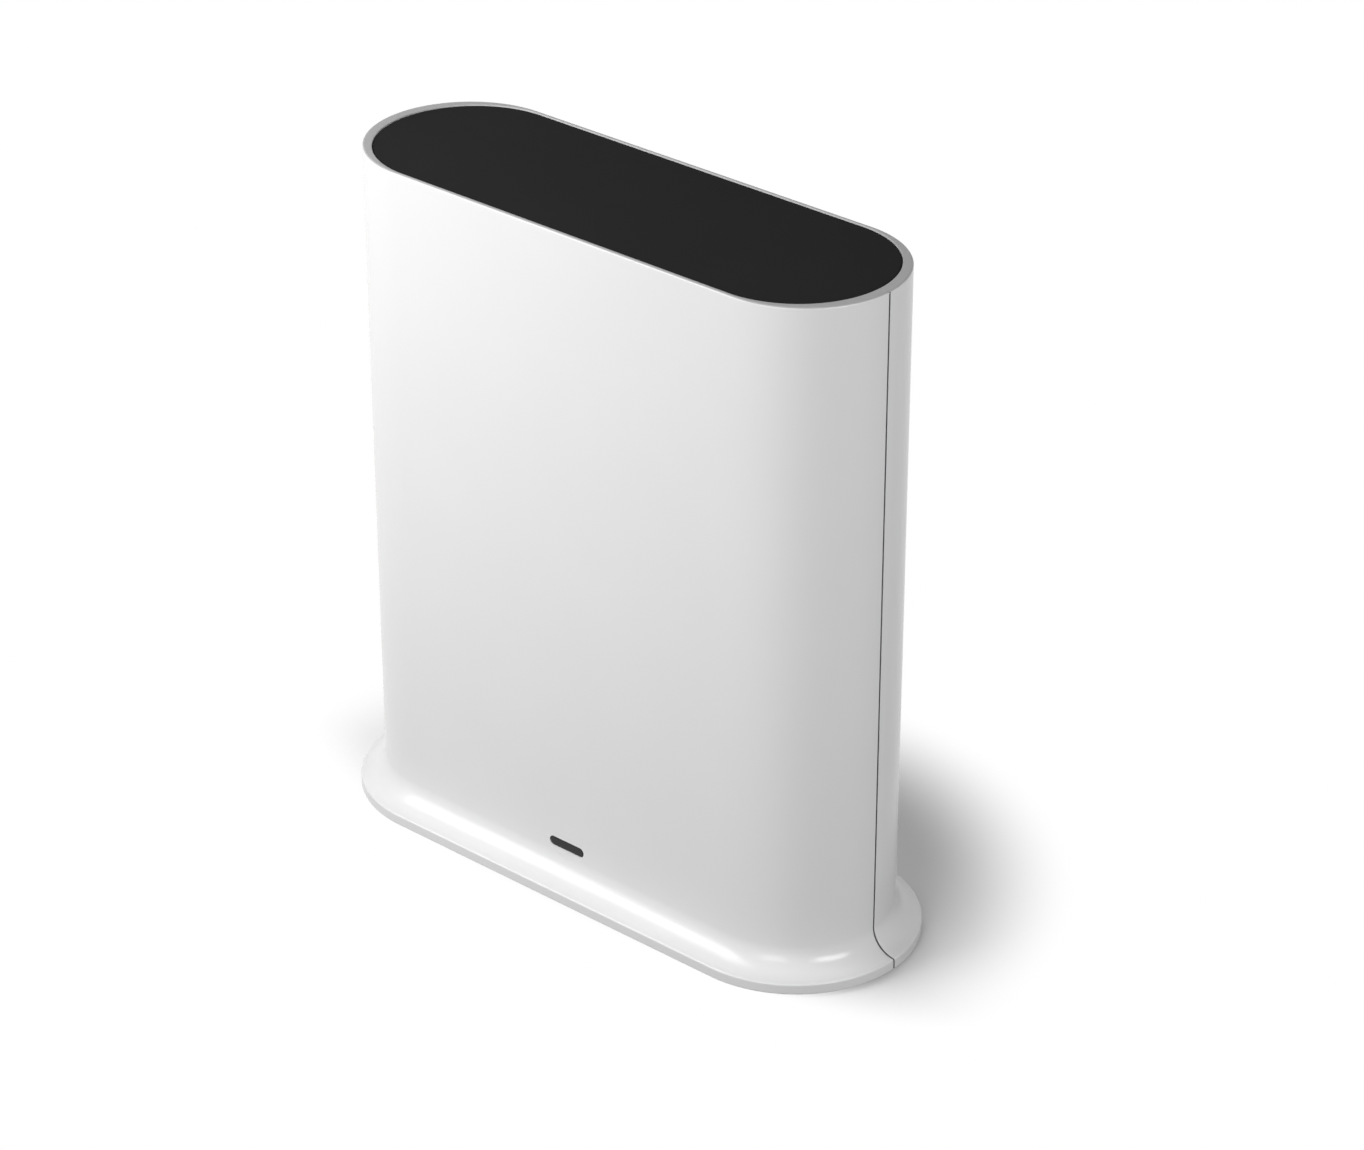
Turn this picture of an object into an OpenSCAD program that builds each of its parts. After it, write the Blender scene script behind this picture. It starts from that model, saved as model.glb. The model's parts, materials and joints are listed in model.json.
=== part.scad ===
// Security camera base station: an upright hub with a racetrack plan, a flared foot,
// two shells that part along the ends, a dark top plate and a row of sockets at the back.
// The front faces -Y, the length runs along X, and Z = 0 is the surface it stands on.

/* [Body] */
// Length of the body along its front
body_l = 130; // [120:1:180]
// Depth of the body from front to back
body_d = 42; // [40:1:60]
// Height of the top rim above the standing surface
body_h = 150.5; // [130:0.5:200]
// Thickness of the shell walls
wall = 2.2; // [1.8:0.1:3]

/* [Parting line] */
// Gap between the two shells inside the wall
seam_gap = 0.1; // [0.06:0.02:0.2]
// Width of the groove that shows as the parting line
reveal_w = 0.35; // [0.2:0.05:0.6]
// Depth of that groove
reveal_d = 0.6; // [0.4:0.1:0.8]
// Thickness of the lip that bridges the parting line
lip_t = 0.9; // [0.6:0.1:1]
// Length of the lip past the parting line
lip_reach = 2; // [1.4:0.2:3]

/* [Foot] */
// Overhang of the foot, and the radius of its concave flare
foot_flare = 5.5; // [5:0.5:8]
// Height of the upright edge of the foot
foot_edge = 2.5; // [2.2:0.1:3.4]
// Thickness of that edge, outside the base plate
foot_wall = 2; // [1.6:0.1:2.6]
// Radius of the rounding on the foot's and the rim's outer edges
edge_r = 0.4; // [0.2:0.1:0.6]
// Thickness of the base plate
base_t = 2; // [1.6:0.1:2.4]
// Height of the base plate's collar round each screw
collar_h = 1; // [0.6:0.1:2]
// Radius of a rubber foot pad
pad_r = 5; // [4:0.5:6]
// Thickness of a rubber foot pad
pad_t = 1.3; // [1.1:0.1:1.5]
// How far a pad stands below the base plate
pad_proud = 0.5; // [0.4:0.1:0.8]
// Distance between pads along the length
pad_span_x = 76; // [66:1:84]
// Distance between pads from front to back
pad_span_y = 34; // [30:1:36]
// Width of a vent slot in the base plate
vent_w = 2; // [1.6:0.1:3]
// Length of a vent slot
vent_l = 16; // [10:1:18]
// Number of vent slots
vent_n = 9; // [5:2:9]

/* [Top plate] */
// Width of the rim along the straight sides
rim_side = 0.8; // [0.6:0.1:1.5]
// Width of the rim at the two ends
rim_end = 2.4; // [1.8:0.1:3]
// Thickness of the top plate
plate_t = 1.8; // [1.4:0.1:2.4]
// How far the plate's face lies below the rim
plate_drop = 0.2; // [0.1:0.1:0.8]
// Width of the shelf that carries the plate
shelf_w = 2; // [1.6:0.1:2.6]
// Thickness of that shelf
shelf_t = 1.6; // [1.2:0.1:2.2]
// Distance between the snap hooks along the length
hook_span = 62; // [40:1:76]
// Width of a snap hook under the plate
hook_w = 8; // [6:1:12]
// Thickness of a snap hook's leg
hook_t = 1.4; // [1:0.1:1.8]
// How far a hook's barb reaches under the shelf
hook_barb = 0.9; // [0.6:0.1:1.2]

/* [Status light] */
// Length of the status window
light_w = 9.5; // [8:0.5:12]
// Height of the status window
light_h = 2.2; // [1.8:0.1:2.6]
// Height of the window's centre above the standing surface
light_z = 10.8; // [9.4:0.1:12]
// Thickness of the flange behind the window
light_flange_t = 1; // [0.8:0.1:1.4]

/* [Sockets] */
// Length of the recessed bay round the sockets
bay_l = 84; // [82:1:87]
// Height of the recessed bay
bay_h = 24; // [22:1:28]
// Depth of the recessed bay
bay_depth = 1; // [0.6:0.1:1.4]
// Height of the row of sockets above the standing surface
port_z = 27; // [25:1:34]
// How far the socket mouths lie inside the bay's floor
port_set = 0.5; // [0.3:0.1:0.8]
// Height of the sockets above the board
port_h = 14.5; // [13.5:0.5:15.5]
// Place of the power socket along the length
power_x = 31; // [30:0.5:33]
// Place of the Ethernet socket along the length
ethernet_x = 11.5; // [10:0.5:13]
// Place of the USB socket along the length
usb_x = -8.5; // [-10:0.5:-7]
// Place of the sync button along the length
sync_x = -25; // [-26:0.5:-24]
// Place of the reset pinhole along the length
reset_x = -35; // [-36:0.5:-34.5]

/* [Ethernet socket] */
// Outside width of the Ethernet socket
ethernet_w = 16; // [15.5:0.1:17]
// Outside height of the Ethernet socket
ethernet_h = 13.4; // [13:0.1:15]
// Width of the plug opening
ethernet_plug_w = 11.8; // [11.7:0.1:12]
// Height of the plug opening
ethernet_plug_h = 7; // [6.8:0.1:7.4]

/* [USB socket] */
// Outside width of the USB socket
usb_w = 13.2; // [13.1:0.1:13.6]
// Outside height of the USB socket
usb_h = 5.8; // [5.7:0.1:6.2]
// Sheet thickness of the USB socket's shell
usb_sheet = 0.3; // [0.2:0.05:0.35]

/* [Power socket] */
// Width of the power socket's body
power_w = 9.4; // [9:0.1:10]
// Height of the power socket's body
power_h = 11; // [10:0.1:12]
// Radius of the plug's bore
power_bore_r = 3.2; // [3:0.1:3.4]
// Radius of the centre pin
power_pin_r = 1; // [0.9:0.05:1.25]
// Depth of the plug's bore
power_bore_depth = 10.5; // [9:0.5:11]

/* [Buttons] */
// Radius of the sync button
sync_r = 4; // [3.5:0.1:4.5]
// How far the sync button stands out of the bay's floor
sync_proud = 0.6; // [0.4:0.1:0.9]
// Travel of the sync button
sync_travel = 0.5; // [0.3:0.05:0.6]
// Radius of the reset pinhole
reset_hole_r = 0.8; // [0.6:0.1:1]
// Travel of the reset switch
reset_travel = 0.3; // [0.2:0.05:0.4]
// Side of a tact switch's square housing
switch_side = 6; // [5.5:0.5:6.5]
// Height of a tact switch's housing
switch_h = 3.5; // [3:0.1:4]
// Radius of a tact switch's stem
switch_stem_r = 1.7; // [1.5:0.1:2]

/* [Board] */
// Room between the circuit board and the ends of the body
board_side = 10; // [9:0.5:14]
// Room between the circuit board and the plate's shelf
board_head = 23; // [20:1:30]
// Thickness of the circuit board
board_t = 1.6; // [1.2:0.1:2]
// Height of the board's lower edge above the standing surface
board_z = 7; // [5:0.5:8]
// Distance of the board's screws from its edges
board_inset = 5; // [4.5:0.5:6]
// Outside radius of a screw boss
boss_r = 3.2; // [2.8:0.1:3.4]
// Radius of a screw's shank
screw_r = 1.2; // [1:0.1:1.4]
// Radius of a screw's head
screw_head_r = 2.3; // [2:0.1:2.5]
// Height of a screw's head
screw_head_h = 1.4; // [1.2:0.1:1.6]
// Length of a board screw under its head
board_screw_l = 9; // [7:0.5:11]
// Length of a base screw under its head
base_screw_l = 8; // [7:0.5:10]

/* [Cooling] */
// Side of the processor package
chip_side = 17; // [14:1:19]
// Height of the processor package
chip_h = 1.4; // [1:0.1:1.8]
// Thickness of the thermal pad
thermal_t = 0.8; // [0.6:0.1:1.2]
// Side of the heat sink
sink_side = 50; // [48:1:54]
// Thickness of the heat sink's base
sink_base_t = 3; // [2.5:0.5:4]
// Height of the heat sink's fins
fin_h = 9; // [6:0.5:10]
// Thickness of a fin
fin_t = 1.4; // [1:0.1:1.8]
// Number of fins
fin_n = 9; // [7:1:10]
// Height of the heat sink's centre above the board's lower edge
sink_rise = 62; // [58:1:66]

/* [Radio] */
// Width of a radio shield can
can_w = 18; // [14:1:19]
// Height of a radio shield can
can_h = 26; // [22:1:30]
// Room between a can and the heat sink
can_gap = 1.5; // [1:0.1:3]
// Depth of a radio shield can
can_d = 3; // [2.5:0.1:3.5]
// Sheet thickness of a can
can_sheet = 0.4; // [0.3:0.05:0.5]
// Length of an antenna strip
antenna_l = 34; // [28:1:38]
// Height of an antenna strip
antenna_h = 10; // [8:0.5:11]
// Thickness of an antenna strip
antenna_t = 0.4; // [0.3:0.05:0.6]
// Distance of the antennas from the middle of the length
antenna_x = 24; // [22:1:26]
// How far the antennas lie below the plate's shelf
antenna_drop = 16; // [14:1:18]
// Diameter of an antenna cable
coax_d = 1.2; // [1:0.05:1.4]

/* [Hidden] */

$fn = 96;
// Clearance between pieces that seat without moving
fit = 0.1;
// Clearance round pieces that slide
slip = 0.15;
// Overshoot of a cutting tool past the faces that it opens
over = 1;
// Depth to which a moulded rib or boss roots into the wall that carries it
root = 0.6;
// How far a rounding runs into the curve that it meets
blend = 0.01;
// Size larger than the whole object, for trimming tools
far = 400;

half_d = body_d / 2;
half_l = body_l / 2;
straight = half_l - half_d;
inner_y = half_d - wall;
shell_z = pad_proud;
base_top = shell_z + base_t;
flare_z = shell_z + foot_edge + foot_flare;
plate_top = body_h - plate_drop;
shelf_z = plate_top - plate_t;
shelf_low = shelf_z - shelf_t;
hook_y = inner_y - shelf_w - fit;

bay_y = half_d - bay_depth;
bay_inner_y = bay_y - wall;
bay_corner = 5;
port_y = bay_y - port_set;
board_rear = port_y - port_h;
board_front = board_rear - board_t;
board_top = shelf_low - board_head;
board_h = board_top - board_z;
board_w = body_l - 2 * (wall + board_side);

boss_ring = inner_y - boss_r + root;
boss_angle = 45;
pilot_r = screw_r + 0.02;
screw_hole_r = screw_r + fit;
// Depth of a base screw's head below the plate's underside
head_sink = 0.2;
// Room past a screw's tip in its pilot hole, and the end of the boss past that
tip_room = 0.5;
boss_cap = 1.5;
base_seat = shell_z + head_sink + screw_head_h;
base_boss_z = base_top + collar_h;
base_tip = base_seat + base_screw_l;

sink_z = board_z + sink_rise;
sink_rear = board_front - chip_h - thermal_t;
sink_front = sink_rear - sink_base_t;
sink_pin_at = sink_side / 2 - 4;
sink_pin_r = 1.2;

light_y = -inner_y + light_flange_t;
led_d = 1;
led_front = board_front - led_d;
pipe_h = light_h - 0.2;
pipe_gap = 0.3;

can_x = sink_side / 2 + can_gap + can_w / 2;
// Distance of the loose components from the board's ends and from its lower edge
edge_in = 18;
edge_up = 24;
// Distance between neighbouring components
part_gap = 3;
side_x = board_w / 2 - edge_in;
edge_z = board_z + edge_up;
can_z = sink_z + sink_side / 2 - can_h / 2;
antenna_z = shelf_low - antenna_drop;
// How far the antenna sockets lie inside the antennas and below the board's upper edge
socket_in = 6;
socket_down = 9;
socket_x = antenna_x - socket_in;
socket_z = board_top - socket_down;
plug_h = 1;
uf_h = 0.8;
feed_h = 1.2;

// A flat racetrack of length l and width d, centred on the origin
module racetrack_flat(l, d) {
    square([l - d, d], center = true);
    for (s = [-1, 1]) translate([s * (l - d) / 2, 0]) circle(d / 2);
}

// A flat rectangle with rounded corners, centred on the origin
module rounded_flat(l, w, r) {
    square([l - 2 * r, w], center = true);
    square([l, w - 2 * r], center = true);
    for (x = [-1, 1], y = [-1, 1]) translate([x * (l / 2 - r), y * (w / 2 - r)]) circle(r);
}

// A profile of radius and height, carried round the racetrack plan of the body
module round_the_plan() {
    for (turn = [0, 180])
        rotate([0, 0, turn]) translate([straight, 0, 0])
            rotate([0, 0, -90]) rotate_extrude(angle = 180) children();
    rotate([90, 0, 90]) linear_extrude(2 * straight, center = true) {
        children();
        mirror([1, 0]) children();
    }
}

// A flat shape in X and Z, raised towards +Y from y0 to y1
module along_y(y0, y1) {
    translate([0, y1, 0]) rotate([90, 0, 0]) linear_extrude(y1 - y0) children();
}

// A round bar along Y
module bar_y(x, z, r, y0, y1) {
    translate([x, y1, z]) rotate([90, 0, 0]) cylinder(r = r, h = y1 - y0);
}

// A block given by its lowest and highest corners
module block(low, high) {
    translate(low) cube(high - low);
}

// Keeps what lies on one side of the parting plane, from y onwards
module keep_side(side, y) {
    intersection() {
        children();
        translate([0, side * (y + far / 2), far / 4]) cube(far, center = true);
    }
}

// Outer profile of the shells. Drawn in by inset it has sharp edges, otherwise rounded ones:
// the foot's upper rounding meets the flare where the line between their centres crosses it,
// and runs a little way into it, so that the two cross and don't merely touch
module outer_profile(inset = 0) {
    r = inset > 0 ? 0 : edge_r;
    flare = foot_flare + inset;
    foot_x = half_d + foot_flare - inset;
    centres = flare + r - (r > 0 ? blend : 0);
    round_z = flare_z - sqrt(centres * centres - r * r);
    meet_x = half_d + foot_flare - max(inset, r * flare / (flare + r));
    translate([0, shell_z]) {
        square([half_d - inset - r, body_h - shell_z]);
        square([half_d - inset, body_h - shell_z - r]);
        square([foot_x - r, round_z - shell_z]);
    }
    translate([0, shell_z + r]) square([foot_x, round_z - shell_z - r]);
    difference() {
        translate([0, shell_z]) square([meet_x, flare_z - shell_z]);
        translate([half_d + foot_flare, flare_z]) circle(flare);
    }
    if (r > 0) {
        translate([half_d - r, body_h - r]) circle(r);
        for (z = [shell_z + r, round_z]) translate([foot_x - r, z]) circle(r);
    }
}

// Hollow inside the shells: base recess, flared foot, main cavity and the opening in the shelf
module cavity_profile() {
    translate([0, shell_z - over])
        square([half_d + foot_flare - foot_wall, base_t + over]);
    difference() {
        translate([0, base_top - over])
            square([half_d + foot_flare, flare_z - base_top + over]);
        translate([half_d + foot_flare, flare_z]) circle(foot_flare + wall);
    }
    translate([0, base_top]) square([inner_y, shelf_low - base_top]);
    translate([0, shelf_low - over]) square([inner_y - shelf_w, body_h]);
}

// The whole hollow body, before it is parted, with the pocket for the top plate
module hollow_body(inset = 0) {
    difference() {
        round_the_plan() difference() {
            outer_profile(inset);
            cavity_profile();
        }
        translate([0, 0, shelf_z]) linear_extrude(plate_t + plate_drop + over)
            racetrack_flat(body_l - 2 * rim_end, body_d - 2 * rim_side);
    }
}

// A filled body inside the wall, to trim ribs and bosses where they root into it
module filled_body() {
    round_the_plan() outer_profile(wall - root);
}

// Places of the base screws on one side of the parting plane
module at_base_screws(side) {
    for (end = [-1, 1])
        translate([
            end * (straight + boss_ring * cos(boss_angle)),
            side * boss_ring * sin(boss_angle), 0
        ]) children();
}

// Bosses for the base screws on one side, rooted in the wall
module base_bosses(side) {
    at_base_screws(side) translate([0, 0, base_boss_z])
        cylinder(r = boss_r, h = base_tip + tip_room + boss_cap - base_boss_z);
}

module base_pilots(side) {
    at_base_screws(side) translate([0, 0, base_top])
        cylinder(r = pilot_r, h = base_tip + tip_room - base_top);
}

// Strips inside the wall of both ends, across the parting plane from y0 to y1
module end_band(r0, r1, z0, z1, y0, y1) {
    intersection() {
        round_the_plan() translate([r0, z0]) square([r1 - r0, z1 - z0]);
        block([-far, y0, 0], [far, y1, far]);
    }
}

// Rests under the light pipe, moulded on the front shell
module pipe_rests() {
    rest_w = light_w - 2;
    rest_z = light_z - pipe_h / 2;
    foot_z = base_top + 1.6;
    bar_z = foot_z + 2;
    post_t = 2;
    // Distance of the two posts from the window and from the board
    post_in = 4;
    post_back = 8;
    post_y = [light_y + post_in, board_front - post_back];
    block([-rest_w / 2, -half_d, foot_z], [rest_w / 2, post_y[1] + post_t, bar_z]);
    for (y = post_y)
        block([-rest_w / 2, y, foot_z], [rest_w / 2, y + post_t, rest_z]);
}

module front_shell() {
    color("white") difference() {
        union() {
            keep_side(-1, seam_gap / 2) hollow_body();
            end_band(inner_y, inner_y + lip_t, flare_z + fit, shelf_low - fit,
                -lip_reach, lip_reach);
            intersection() {
                filled_body();
                union() {
                    base_bosses(-1);
                    pipe_rests();
                }
            }
        }
        base_pilots(-1);
        along_y(-half_d - over, -inner_y + over) translate([0, light_z])
            racetrack_flat(light_w, light_h);
    }
}

module at_board_screws() {
    for (x = [-1, 1], z = [board_z + board_inset, board_top - board_inset])
        translate([x * (board_w / 2 - board_inset), 0, z]) children();
}

// Guides behind the sync button and the reset pinhole
guide_t = 1;
sync_guide_r = sync_r + 1.2 + 2 * slip;
reset_guide_r = switch_stem_r + 0.4;
reset_stem_y = bay_inner_y - 1.5;
guide_end = bay_inner_y - 3;

module bay_flat(extra = 0) {
    translate([0, port_z])
        rounded_flat(bay_l + 2 * extra, bay_h + 2 * extra, bay_corner + extra);
}

module rear_shell() {
    color("white") difference() {
        union() {
            keep_side(1, seam_gap / 2) hollow_body(reveal_d);
            keep_side(1, seam_gap / 2 + reveal_w) hollow_body();
            intersection() {
                filled_body();
                union() {
                    base_bosses(1);
                    at_board_screws() bar_y(0, 0, boss_r, board_rear, half_d);
                    along_y(bay_inner_y, inner_y + root) bay_flat(wall);
                    bar_y(sync_x, port_z, sync_guide_r + guide_t, guide_end, inner_y);
                    bar_y(reset_x, port_z, reset_guide_r + guide_t, guide_end, inner_y);
                }
            }
        }
        base_pilots(1);
        end_band(inner_y - over, inner_y + lip_t + fit, flare_z, shelf_low,
            -over, lip_reach + fit);
        at_board_screws() bar_y(0, 0, pilot_r, board_rear - over,
            board_front + board_screw_l + tip_room);
        along_y(bay_y, half_d + over) bay_flat();
        along_y(guide_end - over, bay_y + over) {
            translate([ethernet_x, port_z])
                square([ethernet_w + 2 * fit, ethernet_h + 2 * fit], center = true);
            translate([usb_x, port_z])
                square([usb_w + 2 * fit, usb_h + 2 * fit], center = true);
            translate([power_x, port_z])
                square([power_w + 2 * fit, power_h + 2 * fit], center = true);
        }
        bar_y(sync_x, port_z, sync_r + slip, guide_end, half_d);
        bar_y(sync_x, port_z, sync_guide_r, guide_end - over, bay_inner_y);
        bar_y(reset_x, port_z, reset_hole_r, guide_end, half_d);
        bar_y(reset_x, port_z, reset_guide_r, guide_end - over, bay_inner_y);
    }
}

module top_plate() {
    barb_h = 2;
    leg_low = shelf_low - fit - barb_h;
    color("#2a2a2a") {
        translate([0, 0, shelf_z]) linear_extrude(plate_t)
            racetrack_flat(body_l - 2 * rim_end - 2 * fit, body_d - 2 * rim_side - 2 * fit);
        for (x = [-1, 1], turn = [0, 180])
            rotate([0, 0, turn]) translate([x * hook_span / 2 - hook_w / 2, 0, 0])
                rotate([90, 0, 90]) linear_extrude(hook_w) polygon([
                    [hook_y - hook_t, shelf_z + plate_t / 2],
                    [hook_y, shelf_z + plate_t / 2],
                    [hook_y, shelf_low - fit],
                    [hook_y + hook_barb, shelf_low - fit],
                    [hook_y, leg_low],
                    [hook_y - hook_t, leg_low]
                ]);
    }
}

module at_pads() {
    for (x = [-1, 1], y = [-1, 1])
        translate([x * pad_span_x / 2, y * pad_span_y / 2, 0]) children();
}

module base_plate() {
    vent_pitch = 3 * vent_w;
    color("whitesmoke") difference() {
        union() {
            translate([0, 0, shell_z]) linear_extrude(base_t)
                racetrack_flat(
                    body_l + 2 * (foot_flare - foot_wall - fit),
                    body_d + 2 * (foot_flare - foot_wall - fit)
                );
            for (side = [-1, 1]) at_base_screws(side) translate([0, 0, shell_z])
                cylinder(r = boss_r, h = base_boss_z - shell_z);
        }
        at_pads() translate([0, 0, -over])
            cylinder(r = pad_r + fit, h = pad_t + over);
        for (side = [-1, 1]) at_base_screws(side) {
            cylinder(r = screw_hole_r, h = far, center = true);
            translate([0, 0, -over])
                cylinder(r = screw_head_r + fit, h = base_seat + over);
        }
        for (i = [0 : vent_n - 1])
            translate([(i - (vent_n - 1) / 2) * vent_pitch, 0, -over])
                linear_extrude(base_top + 2 * over)
                    rotate([0, 0, 90]) racetrack_flat(vent_l, vent_w);
    }
}

module foot_pads() {
    color("#4a4a4a") at_pads() cylinder(r = pad_r, h = pad_t);
}

// A pan-head screw that points along +Z, with its head under z = 0 and a cross recess
module screw(length) {
    slot_w = 0.6;
    slot_l = screw_head_r * 1.2;
    difference() {
        union() {
            translate([0, 0, -screw_head_h]) cylinder(r = screw_head_r, h = screw_head_h);
            cylinder(r = screw_r, h = length);
        }
        for (turn = [0, 90])
            rotate([0, 0, turn]) translate([0, 0, -screw_head_h])
                cube([slot_l, slot_w, screw_head_h], center = true);
    }
}

module base_screws() {
    color("silver") for (side = [-1, 1])
        at_base_screws(side) translate([0, 0, base_seat]) screw(base_screw_l);
}

module status_window() {
    flange_rim = 1.5;
    color("#303030") {
        along_y(-half_d, -inner_y + light_flange_t / 2) translate([0, light_z])
            racetrack_flat(light_w - 2 * fit, light_h - 2 * fit);
        along_y(-inner_y, light_y) translate([0, light_z])
            racetrack_flat(light_w + 2 * flange_rim, light_h + 2 * flange_rim);
    }
}

// Bar of clear plastic that narrows from the window to the LED
module light_pipe() {
    near_w = light_w - 1;
    end_w = light_w / 2;
    color([0.85, 0.93, 0.95, 0.6]) translate([0, 0, light_z - pipe_h / 2])
        linear_extrude(pipe_h) polygon([
            [-near_w / 2, light_y], [near_w / 2, light_y],
            [end_w / 2, led_front - pipe_gap], [-end_w / 2, led_front - pipe_gap]
        ]);
}

module status_led() {
    led_w = 3;
    led_h = 1.6;
    color("ivory") block(
        [-led_w / 2, led_front, light_z - led_h / 2],
        [led_w / 2, board_front, light_z + led_h / 2]
    );
}

module at_sink_pins() {
    for (s = [-1, 1]) translate([s * sink_pin_at, 0, sink_z + s * sink_pin_at]) children();
}

module main_board() {
    corner = 3;
    color("darkgreen") difference() {
        along_y(board_front, board_rear) translate([0, board_z + board_h / 2])
            rounded_flat(board_w, board_h, corner);
        at_board_screws() bar_y(0, 0, screw_hole_r, board_front - over, board_rear + over);
        at_sink_pins() bar_y(0, 0, sink_pin_r + fit, board_front - over, board_rear + over);
    }
}

module board_screws() {
    color("silver") at_board_screws() translate([0, board_front, 0])
        rotate([-90, 0, 0]) screw(board_screw_l);
}

ethernet_sheet = 0.3;

module ethernet_shield() {
    color("silver") translate([ethernet_x, 0, port_z]) difference() {
        along_y(board_rear, port_y) square([ethernet_w, ethernet_h], center = true);
        along_y(board_rear - over, port_y + over)
            square([ethernet_w - 2 * ethernet_sheet, ethernet_h - 2 * ethernet_sheet], center = true);
    }
}

// Plug cavity of the Ethernet socket: its latch notch, its height and its floor
ethernet_latch_w = 6;
ethernet_latch_h = 2.4;
ethernet_floor = board_rear + 2;
ethernet_plug_z = port_z - 0.4;

module ethernet_insert() {
    contact_slot_h = 1.6;
    color("#202020") difference() {
        along_y(board_rear, port_y - fit) translate([ethernet_x, port_z])
            square([
                ethernet_w - 2 * ethernet_sheet - 2 * fit,
                ethernet_h - 2 * ethernet_sheet - 2 * fit
            ], center = true);
        along_y(ethernet_floor, port_y + over) translate([ethernet_x, ethernet_plug_z]) {
            square([ethernet_plug_w, ethernet_plug_h], center = true);
            translate([0, -ethernet_plug_h / 2])
                square([ethernet_latch_w, 2 * ethernet_latch_h], center = true);
            translate([0, ethernet_plug_h / 2])
                square([ethernet_plug_w - 2, 2 * contact_slot_h], center = true);
        }
    }
}

// Eight sprung wires that lean into the plug cavity from its upper corner
module ethernet_contacts() {
    count = 8;
    pitch = 1.02;
    wire = 0.5;
    top = ethernet_plug_z + ethernet_plug_h / 2;
    color("gold") for (i = [0 : count - 1])
        translate([ethernet_x + (i - (count - 1) / 2) * pitch - wire / 2, 0, 0])
            rotate([90, 0, 90]) linear_extrude(wire) polygon([
                [ethernet_floor, top + 0.4], [port_y - 3, top + 0.4],
                [ethernet_floor + 4, top - 1.2], [ethernet_floor + 3.4, top - 0.9],
                [port_y - 4.4, top], [ethernet_floor, top]
            ]);
}

module usb_shell() {
    color("silver") translate([usb_x, 0, port_z]) difference() {
        along_y(board_rear, port_y) square([usb_w, usb_h], center = true);
        along_y(board_rear + 1, port_y + over)
            square([usb_w - 2 * usb_sheet, usb_h - 2 * usb_sheet], center = true);
    }
}

// Tongue that carries the USB contacts, on a block that fills the back of the shell
usb_tongue_w = 11;
usb_tongue_t = 1.8;
usb_block = 4;
usb_tongue_z = port_z + 0.9;

module usb_tongue() {
    color("#2266cc") {
        along_y(board_rear + 1, board_rear + 1 + usb_block) translate([usb_x, port_z])
            square([usb_w - 2 * usb_sheet - 2 * fit, usb_h - 2 * usb_sheet - 2 * fit], center = true);
        along_y(board_rear + usb_block, port_y - 1) translate([usb_x, usb_tongue_z])
            square([usb_tongue_w, usb_tongue_t], center = true);
    }
}

module usb_contacts() {
    count = 4;
    pitch = 2.2;
    strip_w = 1;
    strip_t = 0.25;
    low = usb_tongue_z - usb_tongue_t / 2 - strip_t;
    color("gold") for (i = [0 : count - 1])
        translate([usb_x + (i - (count - 1) / 2) * pitch, 0, 0]) block(
            [-strip_w / 2, board_rear + 1 + usb_block, low],
            [strip_w / 2, port_y - 2, low + strip_t]
        );
}

// Slot beside the power bore that holds its sprung contact
power_slot_w = 2;
power_slot_d = 0.8;
power_floor = port_y - power_bore_depth;

module power_jack_body() {
    color("#1c1c1c") difference() {
        along_y(board_rear, port_y) translate([power_x, port_z])
            square([power_w, power_h], center = true);
        bar_y(power_x, port_z, power_bore_r, power_floor, port_y + over);
        block(
            [power_x - power_slot_w / 2, power_floor, port_z - power_bore_r - power_slot_d],
            [power_x + power_slot_w / 2, port_y - 2, port_z]
        );
    }
}

module power_jack_pin() {
    color("silver") bar_y(power_x, port_z, power_pin_r, power_floor, port_y - 1);
}

module power_jack_contact() {
    strip_t = 0.3;
    low = port_z - power_bore_r - power_slot_d;
    half_w = power_slot_w / 2 - fit;
    // The strip's bump, which bears on the plug: how far in it starts, its length and its rise
    bump_in = 3;
    bump_l = 2;
    bump_h = 0.5;
    color("gold") translate([power_x - half_w, 0, 0])
        rotate([90, 0, 90]) linear_extrude(2 * half_w) polygon([
            [power_floor, low], [port_y - 2 - fit, low],
            [port_y - 2 - fit, low + strip_t],
            [power_floor + bump_in + bump_l, low + strip_t + bump_h],
            [power_floor + bump_in, low + strip_t + bump_h], [power_floor, low + strip_t]
        ]);
}

// Height of a tact switch's stem above the board at rest, and the well that it sinks into
stem_h = switch_h + 1.5;
stem_well = 0.5;

module switch_body(x) {
    color("#151515") difference() {
        along_y(board_rear, board_rear + switch_h) translate([x, port_z])
            square(switch_side, center = true);
        bar_y(x, port_z, switch_stem_r + slip, board_rear + stem_well, board_rear + switch_h + over);
    }
}

module sync_switch_body() {
    switch_body(sync_x);
}

module reset_switch_body() {
    switch_body(reset_x);
}

module sync_switch_stem() {
    color("white") bar_y(sync_x, port_z, switch_stem_r,
        board_rear + stem_well + sync_travel + slip, board_rear + stem_h);
}

module reset_switch_stem() {
    color("white") bar_y(reset_x, port_z, switch_stem_r,
        board_rear + stem_well + reset_travel + slip, reset_stem_y);
}

// Cap, retaining collar and plunger of the sync button, as one turned profile
module sync_button() {
    collar_t = 1.2;
    collar_r = sync_guide_r - slip;
    collar_y = bay_inner_y - fit / 2;
    plunger_r = 2;
    dish = 0.3;
    color("gainsboro") translate([sync_x, 0, port_z]) rotate([-90, 0, 0]) rotate_extrude()
        polygon([
            [0, board_rear + stem_h], [plunger_r, board_rear + stem_h],
            [plunger_r, collar_y - collar_t], [collar_r, collar_y - collar_t],
            [collar_r, collar_y], [sync_r, collar_y],
            [sync_r, bay_y + sync_proud - dish], [sync_r - dish, bay_y + sync_proud],
            [sync_r - 3 * dish, bay_y + sync_proud], [0, bay_y + sync_proud - dish]
        ]);
}

// A square chip on the front of the board
module front_chip(x, z, w, h, t) {
    block([x - w / 2, board_front - t, z - h / 2], [x + w / 2, board_front, z + h / 2]);
}

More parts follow.
